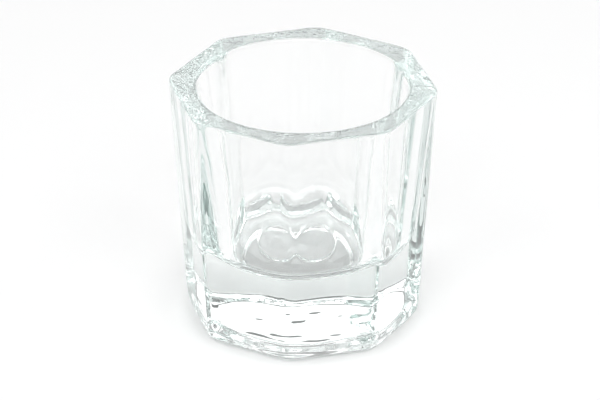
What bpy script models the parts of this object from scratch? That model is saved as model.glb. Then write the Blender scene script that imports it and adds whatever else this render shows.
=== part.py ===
"""Octagonal dappen dish: one piece of clear pressed glass that holds nail acrylic liquid or powder.

The outside is an eight-sided taper, wider at the rim. The well is round, narrows towards the
bottom and ends in a bowl with a flat round seat in a groove. The underside has a shallow punt, so the dish
stands on the flat ring around it. Origin: centre of the foot, on the surface it stands on.
"""

import math

import bmesh
import bpy
from mathutils import Matrix

MM = 0.001

# Outside
SIDES = 8
HEIGHT = 32.3 * MM
RIM_ACROSS_CORNERS = 35.0 * MM
FOOT_ACROSS_CORNERS = 30.7 * MM
CORNER_RADIUS = 2.2 * MM  # fire-polished upright edges
FOOT_EDGE = 1.1 * MM
RIM_EDGE = 0.3 * MM

# Well
MOUTH_DIAMETER = 26.9 * MM
MOUTH_EDGE = 0.7 * MM
WALL_FOOT_DIAMETER = 22.0 * MM  # where the straight wall meets the bowl
BOWL_TOP = 12.2 * MM
SEAT_HEIGHT = 9.6 * MM
SEAT_DIAMETER = 8.2 * MM
GROOVE_WIDTH = 0.4 * MM  # the plunger's mark round the flat seat
GROOVE_DEPTH = 0.15 * MM

# Punt in the underside
PUNT_DIAMETER = 21.6 * MM
PUNT_DEPTH = 1.0 * MM
PUNT_FLANK = 1.2 * MM

TURNS = 64  # segments round the well and the punt
BOWL_STEPS = 10
EDGE_STEPS = 3
OVERSHOOT = 2.0 * MM  # how far a cutter runs past the surface it opens

GLASS_TINT = (0.90, 0.96, 0.945, 1.0)
GLASS_IOR = 1.52


def clear_scene():
    for existing in list(bpy.data.objects):
        bpy.data.objects.remove(existing)


def new_object(name, mesh):
    data = bpy.data.meshes.new(name)
    mesh.to_mesh(data)
    mesh.free()
    made = bpy.data.objects.new(name, data)
    bpy.context.scene.collection.objects.link(made)
    return made


def arc(centre_r, centre_z, radius_r, radius_z, start, end, steps):
    """Points (r, z) along part of an ellipse, angles in degrees from the outward direction."""
    angles = [math.radians(start + (end - start) * i / steps) for i in range(steps + 1)]
    return [(centre_r + radius_r * math.cos(a), centre_z + radius_z * math.sin(a)) for a in angles]


def turned(name, profile):
    """A solid of revolution about Z from (r, z) points that start and end on the axis."""
    mesh = bmesh.new()
    points = [mesh.verts.new((r, 0.0, z)) for r, z in profile]
    edges = [mesh.edges.new(pair) for pair in zip(points, points[1:])]
    bmesh.ops.spin(
        mesh,
        geom=points + edges,
        cent=(0.0, 0.0, 0.0),
        axis=(0.0, 0.0, 1.0),
        angle=2 * math.pi,
        steps=TURNS,
        use_merge=True,
    )
    bmesh.ops.remove_doubles(mesh, verts=mesh.verts, dist=1e-6)
    bmesh.ops.recalc_face_normals(mesh, faces=mesh.faces)
    return new_object(name, mesh)


def edges_where(mesh, test):
    return [edge for edge in mesh.edges if all(test(vert.co) for vert in edge.verts)]


def round_edges(mesh, edges, offset):
    bmesh.ops.bevel(mesh, geom=edges, offset=offset, segments=EDGE_STEPS, profile=0.5, affect="EDGES")


def faceted_blank(name):
    """The solid eight-sided taper, with its upright, foot and rim edges rounded."""
    mesh = bmesh.new()
    half_step = math.pi / SIDES
    bmesh.ops.create_cone(
        mesh,
        cap_ends=True,
        segments=SIDES,
        radius1=FOOT_ACROSS_CORNERS / 2,
        radius2=RIM_ACROSS_CORNERS / 2,
        depth=HEIGHT,
        matrix=Matrix.Translation((0, 0, HEIGHT / 2)) @ Matrix.Rotation(half_step, 4, "Z"),
    )
    upright = [edge for edge in mesh.edges if abs(edge.verts[0].co.z - edge.verts[1].co.z) > HEIGHT / 2]
    round_edges(mesh, upright, CORNER_RADIUS * math.tan(half_step))
    round_edges(mesh, edges_where(mesh, lambda co: co.z < FOOT_EDGE / 10), FOOT_EDGE)
    round_edges(mesh, edges_where(mesh, lambda co: co.z > HEIGHT - RIM_EDGE / 10), RIM_EDGE)
    return new_object(name, mesh)


def well_profile():
    """The hollow's outline from above the rim down to the middle of its seat."""
    mouth = MOUTH_DIAMETER / 2
    wall_foot = WALL_FOOT_DIAMETER / 2
    seat_edge = SEAT_DIAMETER / 2
    bowl_edge = seat_edge + GROOVE_WIDTH
    flare = arc(mouth + MOUTH_EDGE, HEIGHT - MOUTH_EDGE, MOUTH_EDGE, MOUTH_EDGE, 90, 180, EDGE_STEPS)
    bowl = arc(bowl_edge, BOWL_TOP, wall_foot - bowl_edge, BOWL_TOP - SEAT_HEIGHT, 0, -90, BOWL_STEPS)
    groove = [(seat_edge + GROOVE_WIDTH / 2, SEAT_HEIGHT - GROOVE_DEPTH), (seat_edge, SEAT_HEIGHT)]
    lid = [(0.0, HEIGHT + OVERSHOOT), (mouth + MOUTH_EDGE, HEIGHT + OVERSHOOT)]
    return lid + flare + bowl + groove + [(0.0, SEAT_HEIGHT)]


def punt_profile():
    """The shallow recess in the underside, from its ceiling down past the foot."""
    edge = PUNT_DIAMETER / 2
    return [
        (0.0, PUNT_DEPTH),
        (edge - PUNT_FLANK, PUNT_DEPTH),
        (edge, 0.0),
        (edge, -OVERSHOOT),
        (0.0, -OVERSHOOT),
    ]


def cut(body, cutter):
    cutter.hide_render = True
    cutter.display_type = "WIRE"
    boolean = body.modifiers.new(cutter.name, "BOOLEAN")
    boolean.operation = "DIFFERENCE"
    boolean.object = cutter


def clear_glass():
    material = bpy.data.materials.new("clear_pressed_glass")
    material.use_nodes = True
    shader = material.node_tree.nodes["Principled BSDF"]
    shader.inputs["Base Color"].default_value = GLASS_TINT
    shader.inputs["Metallic"].default_value = 0.0
    shader.inputs["Roughness"].default_value = 0.02
    shader.inputs["IOR"].default_value = GLASS_IOR
    shader.inputs["Transmission Weight"].default_value = 1.0
    return material


def glass_dish():
    dish = faceted_blank("glass_dish")
    cut(dish, turned("well_cutter", well_profile()))
    cut(dish, turned("punt_cutter", punt_profile()))
    dish.data.materials.append(clear_glass())
    dish.data.shade_smooth()
    dish.data.set_sharp_from_angle(angle=math.radians(30))
    return dish


clear_scene()
glass_dish()
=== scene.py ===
"""Eight-sided dappen dish of clear pressed glass, the cup that holds nail acrylic liquid or powder."""

import math

import bmesh
import bpy
from mathutils import Matrix, Vector


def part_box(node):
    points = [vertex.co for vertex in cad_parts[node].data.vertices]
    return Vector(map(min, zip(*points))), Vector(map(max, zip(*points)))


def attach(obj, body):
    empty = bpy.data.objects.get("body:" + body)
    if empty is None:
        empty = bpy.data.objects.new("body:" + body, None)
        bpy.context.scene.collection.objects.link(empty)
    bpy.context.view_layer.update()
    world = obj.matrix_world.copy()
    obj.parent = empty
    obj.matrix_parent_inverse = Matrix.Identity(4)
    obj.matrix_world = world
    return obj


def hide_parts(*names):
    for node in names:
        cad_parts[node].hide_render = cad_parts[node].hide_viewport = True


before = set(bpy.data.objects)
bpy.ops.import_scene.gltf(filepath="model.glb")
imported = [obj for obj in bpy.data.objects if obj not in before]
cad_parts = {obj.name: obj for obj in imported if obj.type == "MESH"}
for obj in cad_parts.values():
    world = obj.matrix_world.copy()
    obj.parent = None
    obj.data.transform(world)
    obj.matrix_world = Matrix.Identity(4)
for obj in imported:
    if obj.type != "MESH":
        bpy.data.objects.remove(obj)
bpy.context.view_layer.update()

MM = 0.001

# The dish as the frame gives it
FOOT_LOW, RIM_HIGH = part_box("glass_dish")
HEIGHT = RIM_HIGH.z - FOOT_LOW.z
RIM_FLAT = (RIM_HIGH.x - FOOT_LOW.x) / 2  # from the axis to the middle of a side, at the rim

# Outside of the glass
SIDES = 8
HALF_SIDE = math.pi / SIDES  # the angle from the middle of a side to its corner
FOOT_TO_RIM = 30.7 / 35.0  # the taper: the foot's width as a share of the rim's
CORNER_RADIUS = 2.2 * MM  # upright corners, rounded by fire-polishing
CORNER_SEGMENTS = 3
SIDE_CUTS = 5
FOOT_EDGE = 1.5 * MM  # how far the rounded foot edge reaches in
FOOT_EDGE_HEIGHT = 0.85 * MM  # and up
RIM_EDGE = 0.3 * MM

# The well: radii of the mouth, its rounded edge, the foot of the straight wall and the flat seat
MOUTH = 13.45 * MM
MOUTH_EDGE = 0.7 * MM
WALL_FOOT = 11.0 * MM
SEAT = 4.1 * MM
SEAT_INSET = 0.9  # share of the seat's radius where the grid that fills it starts
GROOVE_WIDTH = 0.4 * MM  # a shallow mark all round the seat
GROOVE_DEPTH = 0.15 * MM
BOWL_TOP = 12.2 * MM  # these two are heights above the foot
BOWL_FLOOR = 9.6 * MM

# The punt, the shallow recess of the underside
PUNT = 10.8 * MM
PUNT_LIP = 0.3 * MM  # a narrow flat ring that keeps the punt's edge crisp
PUNT_FLANK = 1.2 * MM
PUNT_DEPTH = 1.0 * MM

# Unevenness that pressing and fire-polishing leave: how far it reaches, length and height of its lumps
WAVE_LENGTH = 6.0 * MM
WAVE_HEIGHT = 0.05 * MM
RIM_WAVE_REACH = 1.2 * MM
RIM_WAVE_LENGTH = 1.1 * MM
RIM_WAVE_HEIGHT = 0.06 * MM
FOOT_WAVE_REACH = 3.0 * MM
FOOT_WAVE_FADE = 2.0 * MM
FOOT_WAVE_LENGTH = 2.6 * MM
FOOT_WAVE_HEIGHT = 0.15 * MM
PUNT_WAVE_REACH = 1.0 * MM
PUNT_WAVE_LENGTH = 4.2 * MM
PUNT_WAVE_HEIGHT = 0.24 * MM

# Rings of faces along each part of the outline, before subdivision
EDGE_STEPS = 3
BOWL_STEPS = 8
WALL_STEPS = 13
SUBDIVISIONS = 2


def arc(radius_r, radius_z, start, end, steps):
    """Offsets (r, z) along part of an ellipse, angles in degrees from the outward direction."""
    angles = [math.radians(start + (end - start) * i / steps) for i in range(steps + 1)]
    return [(radius_r * math.cos(a), radius_z * math.sin(a)) for a in angles]


def deselect_all():
    for thing in bpy.context.selected_objects:
        thing.select_set(False)


class RingOfGlass:
    """The open ring of edges that is being drawn into the glass, with its half width and height."""

    def __init__(self, size, height):
        self.size = size
        self.height = height

    def pull(self, size, height):
        bpy.ops.mesh.extrude_edges_move(TRANSFORM_OT_translate={"value": (0, 0, height - self.height)})
        scale = size / self.size
        bpy.ops.transform.resize(value=(scale, scale, 1), center_override=(0, 0, height))
        self.size, self.height = size, height

    def make_round(self, size, height, share=1.0):
        """Pulls the ring on and turns it from the outline of the sides towards a circle of that radius."""
        self.pull(size, height)
        bpy.ops.transform.tosphere(value=share, center_override=(0, 0, height))
        mesh = bmesh.from_edit_mesh(bpy.context.edit_object.data)
        reach = [vert.co.xy.length for vert in mesh.verts if vert.select]
        scale = size / (sum(reach) / len(reach))
        bpy.ops.transform.resize(value=(scale, scale, 1), center_override=(0, 0, height))


def side_half_width(height):
    """From the axis to the middle of a side, at that height above the foot."""
    share = height / HEIGHT
    return RIM_FLAT * (FOOT_TO_RIM + (1 - FOOT_TO_RIM) * share)


def outline_of_foot(size):
    """The eight-sided outline with rounded corners, lying on the floor and ready to be pulled up."""
    bpy.ops.mesh.primitive_circle_add(
        vertices=SIDES,
        radius=size / math.cos(HALF_SIDE),
        rotation=(0, 0, HALF_SIDE),
        location=(0, 0, FOOT_LOW.z),
    )
    dish = bpy.context.object
    dish.name = "pressed_glass_dish"
    bpy.ops.object.transform_apply(location=True, rotation=True, scale=True)
    bpy.ops.object.mode_set(mode="EDIT")
    bpy.ops.mesh.select_mode(type="EDGE")
    bpy.ops.mesh.select_all(action="SELECT")
    bpy.ops.mesh.bevel(
        offset=CORNER_RADIUS * math.tan(HALF_SIDE), segments=CORNER_SEGMENTS, affect="VERTICES"
    )
    mesh = bmesh.from_edit_mesh(dish.data)
    for edge in mesh.edges:
        edge.select_set(edge.calc_length() > size / 2)
    bmesh.update_edit_mesh(dish.data)
    bpy.ops.mesh.subdivide(number_cuts=SIDE_CUTS)
    bpy.ops.mesh.select_all(action="SELECT")
    return dish


def pull_outside(ring):
    """Foot edge, tapering sides and the rim's outer edge."""
    foot = side_half_width(0)
    for r, z in arc(FOOT_EDGE, FOOT_EDGE_HEIGHT, -90, 0, EDGE_STEPS)[1:]:
        ring.pull(foot - FOOT_EDGE + r, FOOT_EDGE_HEIGHT + z)
    for step in range(1, WALL_STEPS + 1):
        height = FOOT_EDGE_HEIGHT + (HEIGHT - FOOT_EDGE_HEIGHT - RIM_EDGE) * step / WALL_STEPS
        ring.pull(side_half_width(height), height)
    for r, z in arc(RIM_EDGE, RIM_EDGE, 0, 90, EDGE_STEPS)[1:]:
        ring.pull(RIM_FLAT - RIM_EDGE + r, HEIGHT - RIM_EDGE + z)


def pull_well(ring):
    """Across the rim, over the mouth's edge, down the wall and bowl, and through the groove to the seat."""
    lip = MOUTH + MOUTH_EDGE
    wall_top = HEIGHT - MOUTH_EDGE
    ring.make_round((ring.size + lip) / 2, HEIGHT, share=0.5)
    ring.make_round(lip, HEIGHT)
    for r, z in arc(MOUTH_EDGE, MOUTH_EDGE, 90, 180, EDGE_STEPS)[1:]:
        ring.pull(lip + r, wall_top + z)
    for step in range(1, WALL_STEPS + 1):
        share = step / WALL_STEPS
        ring.pull(MOUTH + (WALL_FOOT - MOUTH) * share, wall_top + (BOWL_TOP - wall_top) * share)
    bowl_edge = SEAT + GROOVE_WIDTH
    for r, z in arc(WALL_FOOT - bowl_edge, BOWL_TOP - BOWL_FLOOR, 0, -90, BOWL_STEPS)[1:]:
        ring.pull(bowl_edge + r, BOWL_TOP + z)
    ring.pull(SEAT + GROOVE_WIDTH * 2 / 3, BOWL_FLOOR - GROOVE_DEPTH)
    ring.pull(SEAT + GROOVE_WIDTH / 3, BOWL_FLOOR - GROOVE_DEPTH)
    ring.pull(SEAT, BOWL_FLOOR)
    ring.pull(SEAT * SEAT_INSET, BOWL_FLOOR)
    bpy.ops.mesh.fill_grid()


def pull_underside(ring):
    """From the foot's flat ring up into the punt."""
    bpy.ops.mesh.select_all(action="DESELECT")
    bpy.ops.mesh.select_non_manifold(
        extend=False, use_wire=False, use_multi_face=False, use_non_contiguous=False, use_verts=False
    )
    ring.make_round((ring.size + PUNT) / 2, 0, share=0.5)
    ring.make_round(PUNT + PUNT_LIP, 0)
    ring.pull(PUNT, 0)
    ring.pull(PUNT - PUNT_FLANK / 2, PUNT_DEPTH / 2)
    ring.pull(PUNT - PUNT_FLANK, PUNT_DEPTH)
    ring.pull(PUNT - 2 * PUNT_FLANK, PUNT_DEPTH)
    bpy.ops.mesh.fill_grid()


def ramp(value, start, end):
    """0 at the start, 1 at the end, level beyond them."""
    return min(max((value - start) / (end - start), 0), 1)


def weigh(piece, name, share):
    """A vertex group that holds the share which a function of the place gives."""
    group = piece.vertex_groups.new(name=name)
    for vert in piece.data.vertices:
        group.add([vert.index], share(vert.co), "REPLACE")


def ripple(piece, name, length, height, group=""):
    """Moves the surface in and out by half that height at most, in lumps of about that length."""
    lumps = bpy.data.textures.new(name, "CLOUDS")
    lumps.noise_scale = length
    lumps.noise_depth = 1
    wave = piece.modifiers.new(name, "DISPLACE")
    wave.texture = lumps
    wave.texture_coords = "LOCAL"
    wave.strength = height
    wave.vertex_group = group
    bpy.ops.object.modifier_apply(modifier=wave.name)


def near_rim(place):
    """The flat top of the rim and the last of the sides and of the well below it."""
    return ramp(place.z, HEIGHT - RIM_WAVE_REACH, HEIGHT)


def near_foot(place):
    """The outside close to the foot, but not the punt."""
    return ramp(place.z, FOOT_WAVE_REACH, 0) * ramp(place.xy.length, PUNT, PUNT + FOOT_WAVE_FADE)


def near_punt(place):
    """The recess of the underside, fading out into the flat ring round it."""
    low = ramp(place.z, PUNT_DEPTH + PUNT_WAVE_REACH, PUNT_DEPTH)
    return low * ramp(place.xy.length, PUNT, PUNT - PUNT_FLANK)


def pressed_dish():
    deselect_all()
    foot = side_half_width(0) - FOOT_EDGE
    dish = outline_of_foot(foot)
    ring = RingOfGlass(foot, 0)
    pull_outside(ring)
    pull_well(ring)
    pull_underside(RingOfGlass(foot, 0))
    bpy.ops.mesh.select_all(action="SELECT")
    bpy.ops.mesh.normals_make_consistent(inside=False)
    bpy.ops.object.mode_set(mode="OBJECT")
    smooth = dish.modifiers.new("smooth", "SUBSURF")
    smooth.levels = smooth.render_levels = SUBDIVISIONS
    bpy.ops.object.modifier_apply(modifier=smooth.name)
    weigh(dish, "near_rim", near_rim)
    weigh(dish, "near_foot", near_foot)
    weigh(dish, "near_punt", near_punt)
    ripple(dish, "press_waves", WAVE_LENGTH, WAVE_HEIGHT)
    ripple(dish, "rim_waves", RIM_WAVE_LENGTH, RIM_WAVE_HEIGHT, "near_rim")
    ripple(dish, "foot_waves", FOOT_WAVE_LENGTH, FOOT_WAVE_HEIGHT, "near_foot")
    ripple(dish, "punt_waves", PUNT_WAVE_LENGTH, PUNT_WAVE_HEIGHT, "near_punt")
    bpy.ops.object.shade_smooth()
    return dish


# Finish of the glass
CHILL_LENGTH = 2.5 * MM
CHILL_HEIGHT = 0.004 * MM
DIMPLE_SIZE = 0.6 * MM
DIMPLE_DEPTH = 0.04 * MM
PATCH_SIZE = 5.0 * MM
PATCH_ROUGHNESS = 0.02

# Finish of the card under the dish, and the shadow painted on it where the dish stands
CARD = "f4f4f4"
# Painted shadow: the card is this grey where the dish stands on it
PAINTED_SHADOW_GREY = "c4c4c4"
PAINTED_SHADOW_CORE = 10.0 * MM  # painted shadow at full grey within this distance of the axis
PAINTED_SHADOW_EDGE = 17.0 * MM  # and white beyond this one
FIBRE_LENGTH = 0.8 * MM  # coarser than real fibres, which are too fine to show
FIBRE_HEIGHT = 0.02 * MM


def colour(code):
    """A linear RGBA colour from an sRGB hex code."""
    shares = [int(code[i : i + 2], 16) / 255 for i in (0, 2, 4)]
    return [c / 12.92 if c <= 0.04045 else ((c + 0.055) / 1.055) ** 2.4 for c in shares] + [1.0]


def add_node(tree, kind, values=None, links=None, **settings):
    """Adds a node: settings are its properties, values its plain inputs, links the sockets that feed it."""
    node = tree.nodes.new(kind)
    for name, value in settings.items():
        setattr(node, name, value)
    for name, value in (values or {}).items():
        node.inputs[name].default_value = value
    for name, socket in (links or {}).items():
        tree.links.new(socket, node.inputs[name])
    return node


def new_tree(name):
    material = bpy.data.materials.new(name)
    material.use_nodes = True
    material.node_tree.nodes.clear()
    return material, material.node_tree


def pressed_soda_lime_glass():
    """Soda-lime glass, pressed in an iron mould and fire-polished: clear and glossy, with soft ripples."""
    material, tree = new_tree("pressed_soda_lime_glass")
    place = add_node(tree, "ShaderNodeTexCoord")
    # Shallow ripples a few millimetres long, which bend what is seen through the glass.
    chill = add_node(
        tree,
        "ShaderNodeTexNoise",
        values={"Scale": 1 / CHILL_LENGTH, "Detail": 2.0, "Roughness": 0.45},
        links={"Vector": place.outputs["Object"]},
    )
    ripples = add_node(
        tree,
        "ShaderNodeBump",
        values={"Strength": 1.0, "Distance": CHILL_HEIGHT},
        links={"Height": chill.outputs["Fac"]},
    )
    # Fine dimples on the rim, which glitter.
    dimples = add_node(
        tree,
        "ShaderNodeTexVoronoi",
        values={"Scale": 1 / DIMPLE_SIZE},
        links={"Vector": place.outputs["Object"]},
    )
    height = add_node(tree, "ShaderNodeSeparateXYZ", links={"Vector": place.outputs["Object"]})
    on_rim = add_node(
        tree,
        "ShaderNodeMapRange",
        values={"From Min": HEIGHT - RIM_WAVE_REACH, "From Max": HEIGHT},
        links={"Value": height.outputs["Z"]},
    )
    sparkle = add_node(
        tree,
        "ShaderNodeBump",
        values={"Distance": DIMPLE_DEPTH},
        links={
            "Strength": on_rim.outputs["Result"],
            "Height": dimples.outputs["Distance"],
            "Normal": ripples.outputs["Normal"],
        },
    )
    # Handling leaves faint dull patches on the polish.
    patches = add_node(
        tree,
        "ShaderNodeTexNoise",
        values={"Scale": 1 / PATCH_SIZE, "Detail": 3.0, "Roughness": 0.6},
        links={"Vector": place.outputs["Object"]},
    )
    dullness = add_node(
        tree,
        "ShaderNodeMapRange",
        values={"From Min": 0.5, "From Max": 0.8, "To Min": 0.0, "To Max": PATCH_ROUGHNESS},
        links={"Value": patches.outputs["Fac"]},
    )
    glass = add_node(
        tree,
        "ShaderNodeBsdfPrincipled",
        values={
            "Base Color": colour("ffffff"),
            "IOR": 1.52,
            "Transmission Weight": 1.0,
        },
        links={"Roughness": dullness.outputs["Result"], "Normal": sparkle.outputs["Normal"]},
    )
    # A trace of iron greys the glass towards green where it is thick.
    tint = add_node(
        tree,
        "ShaderNodeVolumeAbsorption",
        values={"Color": colour("c9e0db"), "Density": 8.0},
    )
    add_node(
        tree,
        "ShaderNodeOutputMaterial",
        links={"Surface": glass.outputs["BSDF"], "Volume": tint.outputs["Volume"]},
    )
    return material


def matt_white_card_painted_shadow():
    """Uncoated white card with a painted shadow, a soft grey spot where the dish stands: no gloss, so no
    glare.
    """
    material, tree = new_tree("matt_white_card_painted_shadow")
    place = add_node(tree, "ShaderNodeTexCoord")
    # Painted shadow: grey near the axis under the dish, fading to the white card further out
    from_dish = add_node(
        tree, "ShaderNodeVectorMath", operation="LENGTH", links={"Vector": place.outputs["Object"]}
    )
    off_painted_shadow = add_node(
        tree,
        "ShaderNodeMapRange",
        interpolation_type="SMOOTHSTEP",
        values={"From Min": PAINTED_SHADOW_CORE, "From Max": PAINTED_SHADOW_EDGE},
        links={"Value": from_dish.outputs["Value"]},
    )
    shade = add_node(
        tree,
        "ShaderNodeMixRGB",
        values={"Color1": colour(PAINTED_SHADOW_GREY), "Color2": colour(CARD)},
        links={"Fac": off_painted_shadow.outputs["Result"]},
    )
    fibres = add_node(
        tree,
        "ShaderNodeTexNoise",
        values={"Scale": 1 / FIBRE_LENGTH, "Detail": 4.0},
        links={"Vector": place.outputs["Object"]},
    )
    grain = add_node(
        tree,
        "ShaderNodeBump",
        values={"Strength": 1.0, "Distance": FIBRE_HEIGHT},
        links={"Height": fibres.outputs["Fac"]},
    )
    card = add_node(
        tree,
        "ShaderNodeBsdfPrincipled",
        values={"Roughness": 1.0, "Specular IOR Level": 0.0},
        links={"Base Color": shade.outputs["Color"], "Normal": grain.outputs["Normal"]},
    )
    add_node(tree, "ShaderNodeOutputMaterial", links={"Surface": card.outputs["BSDF"]})
    return material


# Stage, light and camera
FLOOR_WIDTH = 3.0
FLOOR_GAP = 0.1 * MM
# Brightness of the room by height: sine of the elevation, radiance
ROOM = ((0.0, 0.2), (0.4, 0.26), (0.7, 0.66), (1.0, 0.40))
# Name, turn from the camera's azimuth, elevation, distance, width, height, radiance
SOFTBOXES = (
    ("back_softbox", 180, 36, 0.50, 0.90, 0.26, 1.10),
    ("front_softbox", 0, 56, 0.45, 0.50, 0.24, 2.9),
    ("left_softbox", -90, 52, 0.45, 0.30, 0.20, 1.40),
    ("right_softbox", 90, 50, 0.45, 0.30, 0.20, 1.70),
)
CAMERA_AZIMUTH = -15.6
CAMERA_ELEVATION = 27.5
CAMERA_DISTANCE = 0.5486
CAMERA_LENS = 255.2
AIM_HEIGHT = 15.65 * MM
AIM_SIDE = -0.35 * MM


def direction(azimuth, elevation):
    """The way from the dish towards a place round it: azimuth 0 is -Y, 90 is +X."""
    a, e = math.radians(azimuth), math.radians(elevation)
    return Vector((math.sin(a) * math.cos(e), -math.cos(a) * math.cos(e), math.sin(e)))


def place_facing(thing, target, away, distance):
    """Puts a lamp or a camera at that distance, looking back at the target, upright."""
    side = Vector((0, 0, 1)).cross(away).normalized()
    up = away.cross(side)
    spot = target + away * distance
    thing.matrix_world = Matrix((side, up, away)).transposed().to_4x4()
    thing.location = spot


def floor():
    deselect_all()
    bpy.ops.mesh.primitive_plane_add(size=FLOOR_WIDTH, location=(0, 0, -FLOOR_GAP))
    card = bpy.context.object
    card.name = "paper_floor"
    card.data.materials.append(matt_white_card_painted_shadow())


def studio_world():
    """A soft grey room: dim at the horizon, brightest halfway up."""
    world = bpy.data.worlds.new("studio")
    world.use_nodes = True
    tree = world.node_tree
    tree.nodes.clear()
    place = add_node(tree, "ShaderNodeTexCoord")
    up = add_node(tree, "ShaderNodeSeparateXYZ", links={"Vector": place.outputs["Generated"]})
    shade = add_node(tree, "ShaderNodeValToRGB", links={"Fac": up.outputs["Z"]})
    stops = shade.color_ramp.elements
    while len(stops) < len(ROOM):
        stops.new(1.0)
    for stop, (height, level) in zip(stops, ROOM):
        stop.position = height
        stop.color = (level, level, level, 1)
    sky = add_node(tree, "ShaderNodeBackground", links={"Color": shade.outputs["Color"]})
    add_node(tree, "ShaderNodeOutputWorld", links={"Surface": sky.outputs["Background"]})
    bpy.context.scene.world = world


def softbox(name, turn, elevation, distance, width, height, radiance):
    """An oblong lamp aimed at the dish; its energy is worked out from how bright its face looks."""
    lamp = bpy.data.lights.new(name, "AREA")
    lamp.shape = "RECTANGLE"
    lamp.size = width
    lamp.size_y = height
    lamp.energy = radiance * math.pi * width * height
    box = bpy.data.objects.new(name, lamp)
    bpy.context.scene.collection.objects.link(box)
    place_facing(box, Vector((0, 0, HEIGHT / 2)), direction(CAMERA_AZIMUTH + turn, elevation), distance)


def camera():
    lens = bpy.data.cameras.new("camera")
    lens.lens = CAMERA_LENS
    lens.sensor_width = 36
    view = bpy.data.objects.new("camera", lens)
    bpy.context.scene.collection.objects.link(view)
    away = direction(CAMERA_AZIMUTH, CAMERA_ELEVATION)
    side = Vector((0, 0, 1)).cross(away).normalized()
    place_facing(view, Vector((0, 0, AIM_HEIGHT)) + side * AIM_SIDE, away, CAMERA_DISTANCE)
    bpy.context.scene.camera = view


dish = pressed_dish()
dish.data.materials.append(pressed_soda_lime_glass())
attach(dish, "root")
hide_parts("glass_dish")

floor()
studio_world()
for box in SOFTBOXES:
    softbox(*box)
camera()

scene = bpy.context.scene
scene.view_settings.view_transform = "Standard"
scene.cycles.blur_glossy = 0.0
scene.cycles.max_bounces = 32
scene.cycles.transmission_bounces = 32
scene.cycles.glossy_bounces = 32
scene.cycles.diffuse_bounces = 6
